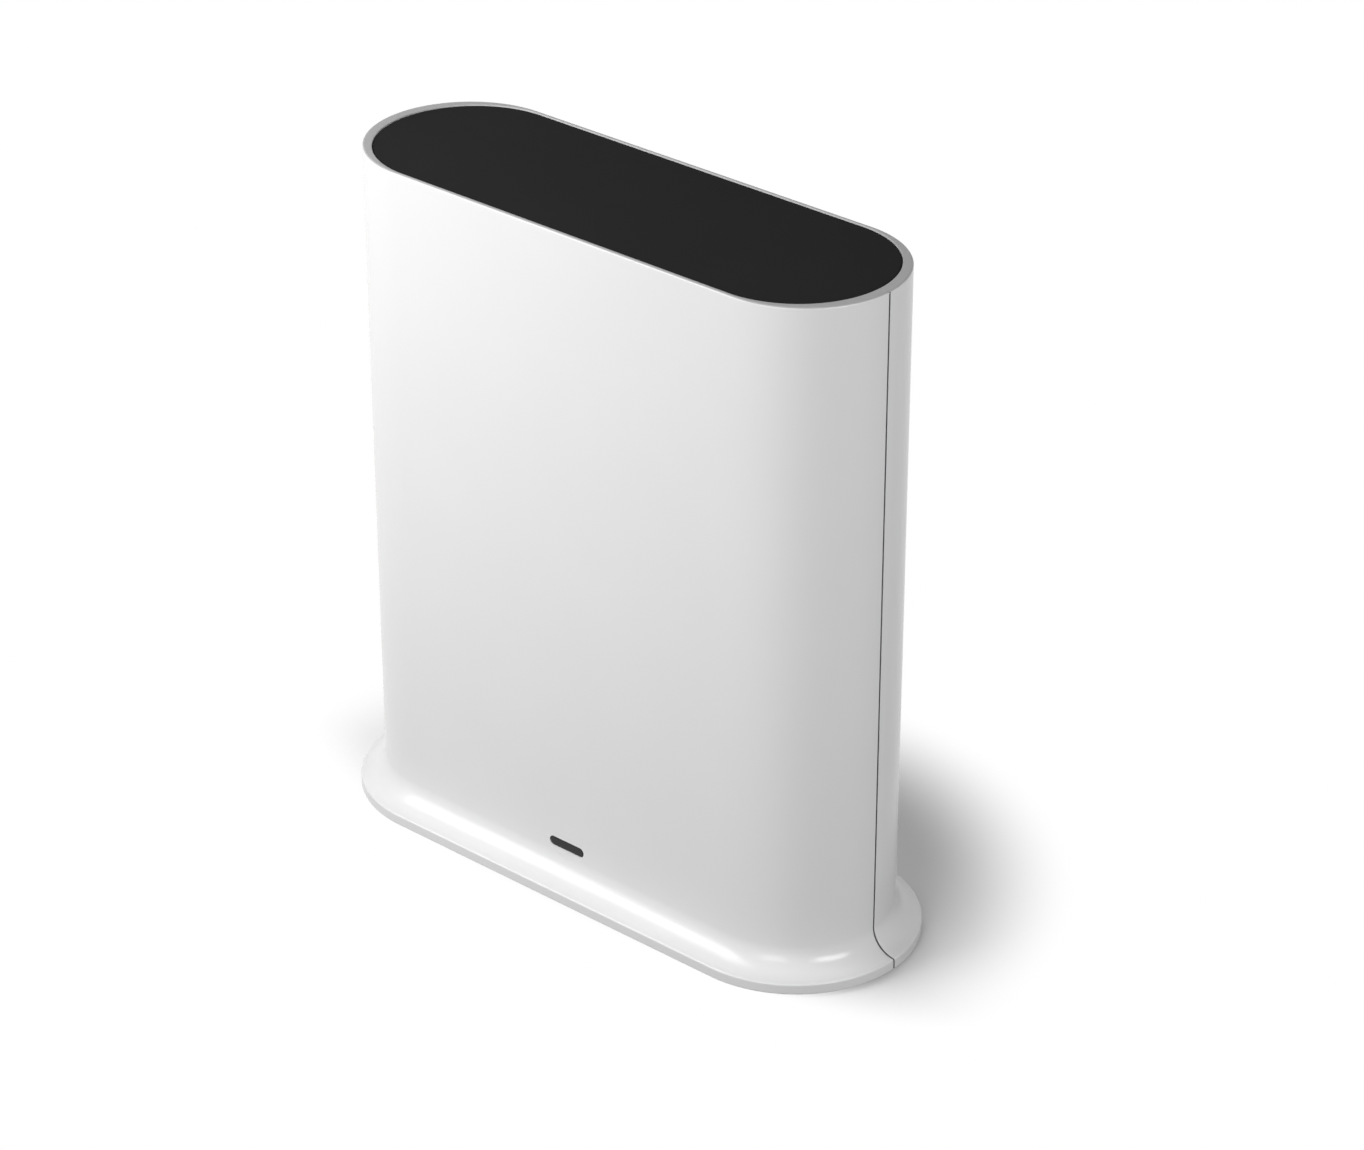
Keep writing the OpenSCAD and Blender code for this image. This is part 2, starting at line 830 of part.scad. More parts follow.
module processor() {
    color("#303030") front_chip(0, sink_z, chip_side, chip_side, chip_h);
}

module thermal_pad() {
    color("lightsteelblue") translate([0, -chip_h, 0])
        front_chip(0, sink_z, chip_side, chip_side, thermal_t);
}

module heat_sink() {
    pitch = (sink_side - fin_t) / (fin_n - 1);
    pin_room = 10;
    color("lightgray") difference() {
        union() {
            block([-sink_side / 2, sink_front, sink_z - sink_side / 2],
                [sink_side / 2, sink_rear, sink_z + sink_side / 2]);
            for (i = [0 : fin_n - 1]) {
                x = -sink_side / 2 + i * pitch;
                block([x, sink_front - fin_h, sink_z - sink_side / 2],
                    [x + fin_t, sink_front, sink_z + sink_side / 2]);
            }
        }
        at_sink_pins() {
            bar_y(0, 0, sink_pin_r + fit, sink_front - over, sink_rear + over);
            block([-pin_room / 2, sink_front - fin_h - over, -pin_room / 2],
                [pin_room / 2, sink_front, pin_room / 2]);
        }
    }
}

// Push pins: a round head on the heat sink, a shank and a barb behind the board
module heat_sink_pins() {
    head_r = 2.5;
    head_t = 1.6;
    barb_r = sink_pin_r + 0.5;
    barb_l = 2;
    color("white") at_sink_pins() rotate([-90, 0, 0]) rotate_extrude()
        polygon([
            [0, sink_front - head_t], [head_r, sink_front - head_t], [head_r, sink_front],
            [sink_pin_r, sink_front], [sink_pin_r, board_rear + fit],
            [barb_r, board_rear + fit], [sink_pin_r - 0.4, board_rear + barb_l],
            [0, board_rear + barb_l]
        ]);
}

module memory_chips() {
    w = 9;
    h = 13;
    t = 1;
    color("#282828") for (s = [-1, 1])
        front_chip(s * (chip_side / 2 + w / 2 + part_gap / 2), sink_z, w, h, t);
}

module flash_chip() {
    side = 8;
    t = 1;
    color("#282828") front_chip(-side_x, edge_z, side, side, t);
}

module crystal() {
    w = 3.2;
    h = 2.5;
    t = 0.8;
    color("silver") front_chip(-side_x + 4 * part_gap, edge_z, w, h, t);
}

// Isolating transformer of the Ethernet socket, behind the board and above the socket
module ethernet_transformer() {
    w = 16;
    h = 7;
    t = 5;
    z = port_z + bay_h / 2 + h;
    color("#1a1a1a") block([ethernet_x - w / 2, board_rear, z - h / 2],
        [ethernet_x + w / 2, board_rear + t, z + h / 2]);
}

module radio_shields() {
    color("silver") for (s = [-1, 1]) translate([s * can_x, 0, can_z]) difference() {
        block([-can_w / 2, board_front - can_d, -can_h / 2],
            [can_w / 2, board_front, can_h / 2]);
        block([-can_w / 2 + can_sheet, board_front - can_d + can_sheet, -can_h / 2 + can_sheet],
            [can_w / 2 - can_sheet, board_front + over, can_h / 2 - can_sheet]);
    }
}

module radio_chips() {
    side = 9;
    t = 1;
    color("#303030") for (s = [-1, 1]) front_chip(s * can_x, can_z, side, side, t);
}

module power_inductors() {
    side = 7;
    t = 4;
    color("#555555") for (i = [0, 1])
        front_chip(side_x, edge_z + i * (side + part_gap), side, side, t);
}

module capacitors() {
    r = 4;
    h = 9;
    seam = 0.6;
    color("#3a4a70") for (i = [0, 1]) {
        x = side_x - 4 * part_gap;
        z = edge_z - 2 * r + i * (2 * r + part_gap);
        bar_y(x, z, r, board_front - h, board_front - seam);
        bar_y(x, z, r - seam, board_front - seam - fit, board_front);
    }
}

// Flat antennas stuck to the inner wall; side is -1 at the front and 1 at the back
module antennas(side) {
    slot_h = 1.5;
    y0 = side > 0 ? inner_y - antenna_t : -inner_y;
    color("darkorange") for (s = [-1, 1]) translate([s * antenna_x, 0, antenna_z])
        along_y(y0, y0 + antenna_t) difference() {
            square([antenna_l, antenna_h], center = true);
            for (k = [-1, 1]) translate([k * antenna_l / 4, -antenna_h / 4])
                square([antenna_l / 2 - 3, slot_h], center = true);
        }
}

module front_antennas() {
    antennas(-1);
}

module rear_antennas() {
    antennas(1);
}

// Inner face of an antenna, and the board's face beside it, on each side
function antenna_y(side) = side * (inner_y - antenna_t);
function board_y(side) = side > 0 ? board_rear : board_front;

// Solder blocks where the cables leave the antennas
module antenna_feeds() {
    w = 3;
    color("silver") for (side = [-1, 1], s = [-1, 1])
        translate([s * antenna_x, antenna_y(side) - side * feed_h / 2, antenna_z])
            cube([w, feed_h, w], center = true);
}

// Round sockets on the board and the plugs that press on them
module antenna_sockets() {
    side_w = 2.6;
    color("silver") for (side = [-1, 1], s = [-1, 1])
        translate([s * socket_x, board_y(side) + side * uf_h / 2, socket_z])
            cube([side_w, uf_h, side_w], center = true);
}

module antenna_plugs() {
    r = 1.5;
    color("gold") for (side = [-1, 1], s = [-1, 1])
        translate([s * socket_x, board_y(side) + side * (uf_h + plug_h / 2), socket_z])
            rotate([90, 0, 0]) cylinder(r = r, h = plug_h, center = true);
}

// Point at t along a smooth curve from a to d that leaves a towards b and reaches d from c
function bend(a, b, c, d, t) =
    pow(1 - t, 3) * a + 3 * t * pow(1 - t, 2) * b + 3 * t * t * (1 - t) * c + t * t * t * d;

function unit(v) = v / norm(v);

// Tube of diameter d along a list of points
module tube(points, d, sides = 8) {
    last = len(points) - 1;
    ahead = [for (i = [0 : last]) unit(points[min(i + 1, last)] - points[max(i - 1, 0)])];
    rings = [
        for (i = [0 : last])
            let (u = unit(cross(ahead[i], [1, 0.01, 0])), v = cross(ahead[i], u))
                for (k = [0 : sides - 1])
                    points[i] + d / 2 * (cos(360 * k / sides) * u + sin(360 * k / sides) * v)
    ];
    skin = [
        for (i = [0 : last - 1], k = [0 : sides - 1])
            let (p = i * sides + k, q = i * sides + (k + 1) % sides)
                each [[p, p + sides, q], [q, p + sides, q + sides]]
    ];
    ends = [
        for (k = [1 : sides - 2])
            each [[0, k, k + 1], [last * sides, last * sides + k + 1, last * sides + k]]
    ];
    polyhedron(rings, concat(skin, ends));
}

// Coaxial leads from the antennas' solder blocks down to the plugs on the board
module antenna_cables() {
    steps = 18;
    color("#202020") for (side = [-1, 1], s = [-1, 1]) {
        start = [s * antenna_x, antenna_y(side) - side * (feed_h + coax_d / 2 + fit), antenna_z];
        end = [s * socket_x, board_y(side) + side * (uf_h + plug_h + coax_d / 2 + fit), socket_z];
        fall = [0, 0, -0.7 * (antenna_z - socket_z)];
        tube([for (i = [0 : steps]) bend(start, start + fall, end - fall, end, i / steps)], coax_d);
    }
}

front_shell();
rear_shell();
top_plate();
base_plate();
foot_pads();
base_screws();
status_window();
light_pipe();
status_led();
main_board();
board_screws();
ethernet_shield();
ethernet_insert();
ethernet_contacts();
usb_shell();
usb_tongue();
usb_contacts();
power_jack_body();
power_jack_pin();
power_jack_contact();
sync_button();
sync_switch_body();
sync_switch_stem();
reset_switch_body();
reset_switch_stem();
processor();
thermal_pad();
heat_sink();
heat_sink_pins();
memory_chips();
flash_chip();
ethernet_transformer();
radio_shields();
radio_chips();
power_inductors();
capacitors();
crystal();
front_antennas();
rear_antennas();
antenna_feeds();
antenna_cables();
antenna_plugs();
antenna_sockets();
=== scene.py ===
import json

import bmesh
import bpy
import numpy as np
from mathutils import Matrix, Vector


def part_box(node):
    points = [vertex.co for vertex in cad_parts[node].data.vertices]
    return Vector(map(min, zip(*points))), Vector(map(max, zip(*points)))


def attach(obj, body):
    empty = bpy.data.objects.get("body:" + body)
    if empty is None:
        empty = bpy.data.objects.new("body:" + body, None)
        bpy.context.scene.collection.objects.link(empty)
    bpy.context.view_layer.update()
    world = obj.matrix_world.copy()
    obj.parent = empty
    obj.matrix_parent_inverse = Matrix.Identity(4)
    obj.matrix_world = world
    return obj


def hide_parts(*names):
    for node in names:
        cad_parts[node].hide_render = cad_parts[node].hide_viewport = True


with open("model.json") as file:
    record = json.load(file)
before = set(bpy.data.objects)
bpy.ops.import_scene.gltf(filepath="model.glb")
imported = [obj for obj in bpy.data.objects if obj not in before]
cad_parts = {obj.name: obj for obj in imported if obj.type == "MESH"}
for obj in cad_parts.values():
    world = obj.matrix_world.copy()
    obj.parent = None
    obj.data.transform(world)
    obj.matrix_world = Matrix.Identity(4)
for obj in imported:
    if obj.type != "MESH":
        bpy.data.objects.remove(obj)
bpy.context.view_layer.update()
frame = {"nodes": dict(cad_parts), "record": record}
mm = 0.001
print("frame loaded:", len(frame["nodes"]), "nodes")

# Sizes shared by the outer pieces, in millimetres, the same as in the solid model
body = {
    "straight": 44.0,        # half the straight run of the plan
    "radius": 21.0,          # round ends of the plan
    "top": 150.5,            # rim above the floor
    "bottom": 0.5,           # underside of the shells; the pads reach the floor
    "wall": 2.2,
    "flare": 5.5,            # overhang of the foot and radius of its sweep
    "footEdge": 2.5,         # upright edge of the foot
    "footWall": 2.0,
    "edgeRound": 0.4,
    "basePlate": 2.0,
    "rimSide": 0.8,          # rim along the straight sides of the top plate
    "rimEnd": 2.4,           # rim at the ends of the top plate
    "plateDrop": 0.2,        # top plate below the rim
    "plate": 1.8,
    "shelfWidth": 2.0,       # shelf under the top plate
    "shelf": 1.6,
    "fit": 0.1,              # room between pieces that fit together
}
flareZ = body["bottom"] + body["footEdge"] + body["flare"]
innerR = body["radius"] - body["wall"]
plateTop = body["top"] - body["plateDrop"]
shelfTop = plateTop - body["plate"]
shelfLow = shelfTop - body["shelf"]
baseTop = body["bottom"] + body["basePlate"]


# Camera

shot = {
    "eye": (511.973, -573.434, 489.515),
    "target": (13.547, 0.0, 71.446),
    "lens": 112.90,
    "sensor": 36.0,
    "clip": (0.01, 50.0),    # in metres
}


def aimed(piece, at, to):
    # sets a camera or lamp at one point and turns it to look at another
    start = Vector(at) * mm
    piece.location = start
    piece.rotation_euler = (Vector(to) * mm - start).to_track_quat("-Z", "Y").to_euler()
    bpy.context.scene.collection.objects.link(piece)


def makeCamera():
    data = bpy.data.cameras.new("camera")
    data.sensor_fit = "HORIZONTAL"
    data.sensor_width = shot["sensor"]
    data.lens = shot["lens"]
    data.clip_start, data.clip_end = shot["clip"]
    camera = bpy.data.objects.new("camera", data)
    aimed(camera, shot["eye"], shot["target"])
    bpy.context.scene.camera = camera


makeCamera()
print("camera set")


# Meshes from arrays

past = 1.0                   # how far (mm) a cutting shape reaches past the piece
mergeDist = 1e-8             # points closer than this (m) are one
shading = {"sharpDeg": 32.0, "weight": 80}
ownPieces = []               # every piece made here, with its material slot


def closedTube(rings):
    # rings of points joined in turn into a skin of four-sided cells, with a flat cap on both ends
    rings = np.asarray(rings, float)
    rows, cols = rings.shape[:2]
    r, c = np.meshgrid(np.arange(rows - 1), np.arange(cols), indexing="ij")
    nextC = (c + 1) % cols
    cells = [r * cols + c, r * cols + nextC, (r + 1) * cols + nextC, (r + 1) * cols + c]
    faces = np.stack(cells, -1).reshape(-1, 4).tolist()
    faces.append(list(range(cols)))
    faces.append(list(range((rows - 1) * cols, rows * cols)))
    return rings.reshape(-1, 3), faces


def arc(centre, radius, startDeg, endDeg, count):
    # points at equal angles on a circle
    turn = np.radians(np.linspace(startDeg, endDeg, count))
    return np.stack([centre[0] + radius * np.cos(turn), centre[1] + radius * np.sin(turn)], -1)


def racetrack(length, width, count):
    # closed outline with two straight runs and two half circles, anticlockwise from the lower right
    half = (length - width) / 2
    right = arc((half, 0), width / 2, -90, 90, count)
    left = arc((-half, 0), width / 2, 90, 270, count)
    return np.vstack([right, left])


def roundedBox(length, height, radius, count):
    # closed outline of a rectangle whose corners are quarter circles
    x, z = length / 2 - radius, height / 2 - radius
    corners = [(x, -z, -90), (x, z, 0), (-x, z, 90), (-x, -z, 180)]
    return np.vstack([arc((cx, cz), radius, a, a + 90, count) for cx, cz, a in corners])


def disc(radius, count):
    # closed outline of a circle
    return arc((0, 0), radius, 0, 360 * (1 - 1 / count), count)


def widened(outline, by):
    # outline spread by the same distance on every side
    return outline * (1 + 2 * by / np.ptp(outline, axis=0))


def loftY(outlines, places, centre):
    # outlines in X and Z, each set at its own place along Y
    rings = [
        np.stack([centre[0] + o[:, 0], np.full(len(o), y), centre[1] + o[:, 1]], -1)
        for o, y in zip(outlines, places)
    ]
    return closedTube(rings)


def loftZ(outlines, places, centre=(0.0, 0.0)):
    # outlines in X and Y, each set at its own height
    rings = [
        np.stack([centre[0] + o[:, 0], centre[1] + o[:, 1], np.full(len(o), z)], -1)
        for o, z in zip(outlines, places)
    ]
    return closedTube(rings)


def fourPlaces(x, y):
    # the same place in each quarter of the plan
    return [(sx * x, sy * y) for sx in (-1, 1) for sy in (-1, 1)]


def joined(parts):
    # several skins as one list of points and one of faces
    verts, faces, start = [], [], 0
    for points, cells in parts:
        verts.append(points)
        faces += [[start + i for i in cell] for cell in cells]
        start += len(points)
    return np.vstack(verts), faces


def makeMesh(name, parts):
    points, faces = joined(parts)
    mesh = bpy.data.meshes.new(name)
    mesh.from_pydata((points * mm).tolist(), [], faces)
    work = bmesh.new()
    work.from_mesh(mesh)
    bmesh.ops.remove_doubles(work, verts=work.verts, dist=mergeDist)
    bmesh.ops.recalc_face_normals(work, faces=work.faces)
    work.to_mesh(mesh)
    work.free()
    piece = bpy.data.objects.new(name, mesh)
    bpy.context.scene.collection.objects.link(piece)
    return piece


def cutOut(piece, tools):
    # takes the tools' volumes out of the piece, one after another, and keeps the result as its mesh
    for parts in tools:
        tool = makeMesh("tool", [parts])
        cut = piece.modifiers.new("cut", "BOOLEAN")
        cut.operation = "DIFFERENCE"
        cut.solver = "EXACT"
        cut.object = tool
        bpy.context.view_layer.update()
        shown = piece.evaluated_get(bpy.context.evaluated_depsgraph_get())
        mesh = bpy.data.meshes.new_from_object(shown)
        piece.modifiers.clear()
        piece.data = mesh
        bpy.data.objects.remove(tool)


def finishPiece(piece, node, slotName, bodyName):
    # smooth shading that keeps the large flat faces flat, then the piece takes its node's place
    piece.data.shade_smooth()
    piece.data.set_sharp_from_angle(angle=np.radians(shading["sharpDeg"]))
    even = piece.modifiers.new("even", "WEIGHTED_NORMAL")
    even.keep_sharp = True
    even.weight = shading["weight"]
    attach(piece, bodyName)
    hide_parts(node)
    ownPieces.append((piece, slotName))


# Shells

shell = {
    "seamGap": 0.1,
    "revealWidth": 0.35,     # groove that the rear shell leaves along the parting plane
    "revealDepth": 0.6,
    "revealDraft": 0.005,    # lean of the groove's wall, without which the mesh would not close
    "revealAtRim": 0.03,     # what is left of the groove where it runs out at the rim
    "runOut": 0.6,           # distance below the rim at which it runs out
    "edgeEase": ((0.0, 0.12), (0.04, 0.035), (0.12, 0.0)),   # (distance, inset) over a softened edge
    "lip": 0.9,              # strip that bridges the parting plane inside
    "lipReach": 2.0,
    "lipRings": 9,
    "frontRows": (0.6, 1.1, 1.6, 2.1, 2.7),   # distances from the plane of the first rings, front shell
    "rearRows": (1.0, 1.5),                   # rear shell, up to the end of the lip
    "lastRow": 2.7,
    "rebateEnd": 0.001,      # distance over which the room for the lip ends
    "turns": (9.0, 90.1, 1.5),                # first, last and step of the rings round an end, in degrees
    "wallRow": 6.0,          # points of the section this far from the rim and the sweep keep the wall flat
    "sweepRow": 1.0,
    # (run, radius, height) over the softened inner edge of the rim
    "rimEase": ((0.0, 0.0, -0.15), (0.01, 0.04, -0.04), (0.03, 0.15, 0.0)),
    "edgePoints": 7,         # points on a rounded edge, on the sweep and on the foot's ceiling
    "sweepPoints": 30,
    "ceilingPoints": 14,
}
halfGap = shell["seamGap"] / 2
reveal = halfGap + shell["revealWidth"]


def wallProfile(inset=0.0, rebate=False):
    # closed section of the wall as rows of (straight run, radius, height): over the rim, down the
    # outside, along the concave sweep of the foot, under it and up the inside to the plate's pocket;
    # inset draws the outside in, and rebate takes the lip's room from the inside
    r, edge = body["edgeRound"], shell["edgePoints"]
    bottom, top = body["bottom"], body["top"]
    outer = body["radius"] - inset
    rimR = body["radius"] - min(inset, shell["revealAtRim"])
    runOut = top - shell["runOut"]
    centreR = body["radius"] + body["flare"]
    footR = centreR - inset
    sweep = body["flare"] + inset
    roundZ = flareZ - np.sqrt(sweep**2 + 2 * sweep * r)
    meet = np.degrees(np.arctan2(roundZ - flareZ, (footR - r) - centreR)) % 360
    baseR = centreR - body["footWall"]
    inside = innerR + (shell["lip"] + body["fit"] if rebate else 0.0)
    innerSweep = body["flare"] + body["wall"]
    ceiling = 180 + np.degrees(np.arcsin((flareZ - baseTop) / innerSweep))
    shelfR = innerR - body["shelfWidth"]
    outside = np.vstack([
        arc((rimR - r, top - r), r, 90, 0, edge),
        [(rimR, runOut), (outer, runOut - inset), (outer, top - shell["wallRow"])],
        [(outer, flareZ + shell["wallRow"]), (outer, flareZ + shell["sweepRow"])],
        arc((centreR, flareZ), sweep, 180, meet, shell["sweepPoints"]),
        arc((footR - r, roundZ), r, meet - 180, 0, edge)[1:],
        arc((footR - r, bottom + r), r, 0, -90, edge),
        [(baseR, bottom), (baseR, baseTop)],
        arc((centreR, flareZ), innerSweep, ceiling, 180, shell["ceilingPoints"]),
        [(inside, flareZ), (inside, shelfLow), (shelfR, shelfLow), (shelfR, shelfTop)],
    ])
    runs = np.full((len(outside), 1), body["straight"])
    pocketR = body["radius"] - body["rimSide"]
    pocketRun = body["straight"] + body["radius"] - body["rimEnd"] - pocketR
    rimEdge = np.add((pocketRun, pocketR, top), shell["rimEase"])
    return np.vstack([np.hstack([runs, outside]), [(pocketRun, pocketR, shelfTop)], rimEdge])


def halfShell(side, rows):
    # the wall's section carried along half of the plan, from the parting plane at one end to the other;
    # rows lists (distance from the plane, inset, rebate) for the first steps
    turns = np.radians(np.arange(*shell["turns"]))
    rings = []
    for end in (1, -1):
        stretch = []
        for y, inset, rebate in rows:
            p = wallProfile(inset, rebate)
            x = p[:, 0] + np.sqrt(p[:, 1] ** 2 - y**2)
            stretch.append(np.stack([end * x, np.full(len(p), side * y), p[:, 2]], -1))
        p = wallProfile()
        for turn in turns:
            x = p[:, 0] + p[:, 1] * np.cos(turn)
            stretch.append(np.stack([end * x, side * p[:, 1] * np.sin(turn), p[:, 2]], -1))
        rings += stretch if end > 0 else stretch[::-1]
    return closedTube(rings)


def seamLip():
    # strips inside both ends that bridge the parting plane, a rectangle carried along the inner curve
    low, high = flareZ + body["fit"], shelfLow - body["fit"]
    lipR = innerR + shell["lip"]
    section = np.array([(innerR, low), (lipR, low), (lipR, high), (innerR, high)])
    parts = []
    for end in (1, -1):
        rings = []
        for y in np.linspace(-shell["lipReach"], shell["lipReach"], shell["lipRings"]):
            x = body["straight"] + np.sqrt(section[:, 0] ** 2 - y**2)
            rings.append(np.stack([end * x, np.full(len(section), y), section[:, 1]], -1))
        parts.append(closedTube(rings))
    return parts


window = {
    "length": 9.5, "height": 2.2, "z": 10.8, "flange": 1.0, "flangeRim": 1.5,
    "edgeEase": ((-0.6, 0.0), (-0.1, 0.0), (-0.03, 0.03), (0.0, 0.1)),   # (offset, depth) over the edge
    "endPoints": 24, "slotPoints": 20,   # points on a round end of the window and of its slot
}
bay = {
    "length": 84.0, "height": 24.0, "corner": 5.0, "depth": 1.0, "z": 27.0,
    "mouthRound": 0.35, "floorRound": 0.3, "cornerPoints": 10, "mouthPoints": 7, "floorPoints": 6,
}
sockets = {
    "ethernet": {"x": 11.5, "width": 16.0, "height": 13.4},
    "usb": {"x": -8.5, "width": 13.2, "height": 5.8},
    "power": {"x": 31.0, "width": 9.4, "height": 11.0},
}
socketHole = {"corner": 0.35, "cornerPoints": 6, "chamfer": 0.25}
button = {
    "x": -25.0, "radius": 4.0, "slip": 0.15, "holeChamfer": 0.3, "points": 96,
    "edgeRound": 0.35, "edgePoints": 7, "rim": 0.8, "rimDrop": 0.01,
    "dish": 0.28, "dishRows": (0.9, 0.75, 0.55, 0.3, 0.1),   # depth, and shares of the rim's radius
    "collar": 1.2, "plunger": 2.0, "tip": 0.6,
}
pinhole = {"x": -35.0, "radius": 0.8, "chamfer": 0.35, "points": 40}
bayY = body["radius"] - bay["depth"]


def makeFrontShell():
    # front half with softened edges at the parting plane, a slot for the window and the lip inside
    rows = [(halfGap + y, inset, False) for y, inset in shell["edgeEase"]]
    rows += [(y, 0.0, False) for y in shell["frontRows"]]
    piece = makeMesh("frontShell", [halfShell(-1, rows)])
    slot = racetrack(window["length"], window["height"], window["slotPoints"])
    cutOut(piece, [loftY([slot, slot], (-body["radius"] - past, -innerR + past), (0.0, window["z"]))])
    lip = makeMesh("lip", seamLip())
    work = bmesh.new()
    work.from_mesh(piece.data)
    work.from_mesh(lip.data)
    work.to_mesh(piece.data)
    work.free()
    bpy.data.objects.remove(lip)
    finishPiece(piece, "front_shell", "white_plastic", "hub")


def bayTool():
    # rounded rectangle that opens with a convex mouth and ends in a filleted floor
    mouth, floor = bay["mouthRound"], bay["floorRound"]
    steps = np.vstack([
        [(mouth, body["radius"] + past)],
        arc((mouth, body["radius"] - mouth), mouth, 90, 180, bay["mouthPoints"]),
        arc((-floor, bayY + floor), floor, 0, -90, bay["floorPoints"]),
    ])
    outlines = [
        roundedBox(bay["length"] + 2 * o, bay["height"] + 2 * o, bay["corner"] + o, bay["cornerPoints"])
        for o in steps[:, 0]
    ]
    return loftY(outlines, steps[:, 1], (0.0, bay["z"]))


def portTool(outline, x, chamfer):
    # outline of a hole carried through the wall, spread a little where it meets the bay's floor
    wide = widened(outline, chamfer)
    places = (bayY + bay["depth"] / 2, bayY, bayY - chamfer, innerR - 2 * past)
    return loftY([wide, wide, outline, outline], places, (x, bay["z"]))


def makeRearShell():
    # rear half with the groove along the parting plane, room for the lip, and the bay with its holes
    reach = shell["lipReach"] + body["fit"]
    rows = [(y, shell["revealDepth"], True) for y in (halfGap, reveal)]
    rows += [(reveal + max(y, shell["revealDraft"]), inset, True) for y, inset in shell["edgeEase"]]
    rows += [(y, 0.0, True) for y in (*shell["rearRows"], reach)]
    rows += [(y, 0.0, False) for y in (reach + shell["rebateEnd"], shell["lastRow"])]
    piece = makeMesh("rearShell", [halfShell(1, rows)])
    tools = [bayTool()]
    room = 2 * body["fit"]
    for port in sockets.values():
        width, height = port["width"] + room, port["height"] + room
        outline = roundedBox(width, height, socketHole["corner"], socketHole["cornerPoints"])
        tools.append(portTool(outline, port["x"], socketHole["chamfer"]))
    buttonHole = disc(button["radius"] + button["slip"], button["points"])
    tools.append(portTool(buttonHole, button["x"], button["holeChamfer"]))
    tools.append(portTool(disc(pinhole["radius"], pinhole["points"]), pinhole["x"], pinhole["chamfer"]))
    cutOut(piece, tools)
    finishPiece(piece, "rear_shell", "white_plastic", "hub")


makeFrontShell()
makeRearShell()
print("shells made")


# Top plate, base plate, pads, window and button

topPlate = {
    "edgeRound": 0.25, "edgePoints": 6, "endPoints": 64,
    "face": 1.2,             # the cap of the upper face starts this far in
    "hookSpan": 62.0, "hookWidth": 8.0, "hookLeg": 1.4, "hookRoot": 0.9,
    "hookBarb": 0.9, "barbHeight": 2.0,
}


def plateHook(x, side):
    # leg with a barb that catches under the shelf, drawn in Y and Z and carried along X
    y = innerR - body["shelfWidth"] - body["fit"]
    back = y - topPlate["hookLeg"]
    root = shelfTop + topPlate["hookRoot"]
    catch = shelfLow - body["fit"]
    low = catch - topPlate["barbHeight"]
    barb = (y + topPlate["hookBarb"], catch)
    section = np.array([(back, root), (y, root), (y, catch), barb, (y, low), (back, low)])
    half = topPlate["hookWidth"] / 2
    rings = [
        np.stack([np.full(len(section), x + along), side * section[:, 0], section[:, 1]], -1)
        for along in (-half, half)
    ]
    return closedTube(rings)


def makeTopPlate():
    # racetrack slab whose upper edge is a quarter round, with a hook near each end of both sides
    r = topPlate["edgeRound"]
    length = 2 * (body["straight"] + body["radius"] - body["rimEnd"] - body["fit"])
    width = 2 * (body["radius"] - body["rimSide"] - body["fit"])
    steps = np.vstack([
        [(0.0, shelfTop)],
        arc((-r, plateTop - r), r, 0, 90, topPlate["edgePoints"]),
        [(-topPlate["face"], plateTop)],
    ])
    outlines = [racetrack(length + 2 * o, width + 2 * o, topPlate["endPoints"]) for o in steps[:, 0]]
    parts = [loftZ(outlines, steps[:, 1])]
    parts += [plateHook(x, side) for x, side in fourPlaces(topPlate["hookSpan"] / 2, 1)]
    finishPiece(makeMesh("topPlate", parts), "top_plate", "black_plate", "hub")


basePlate = {
    "edgeRound": 0.3, "edgePoints": 5, "endPoints": 48,
    "ventCount": 9, "ventPitch": 6.0,
    "ventWidth": 2.0, "ventLength": 16.0, "ventChamfer": 0.25, "ventPoints": 14,
    "headRadius": 2.3, "headHeight": 1.4, "headSink": 0.2, "headPoints": 40,   # heads of the screws
    "bossRadius": 3.2, "bossRoot": 0.6,      # bosses that take them, and how far these sink into the wall
    "bossTurn": 45.0,                        # degrees round each end
}
pads = {
    "x": 38.0, "y": 17.0, "radius": 5.0, "thickness": 1.3, "edgeRound": 0.45, "shoulder": 0.5,
    "dish": ((-1.3, 0.0), (-1.6, 0.12), (-4.0, 0.15)),   # (offset from the edge, height) of the underside
    "points": 56, "edgePoints": 7, "pocketPoints": 64,
}


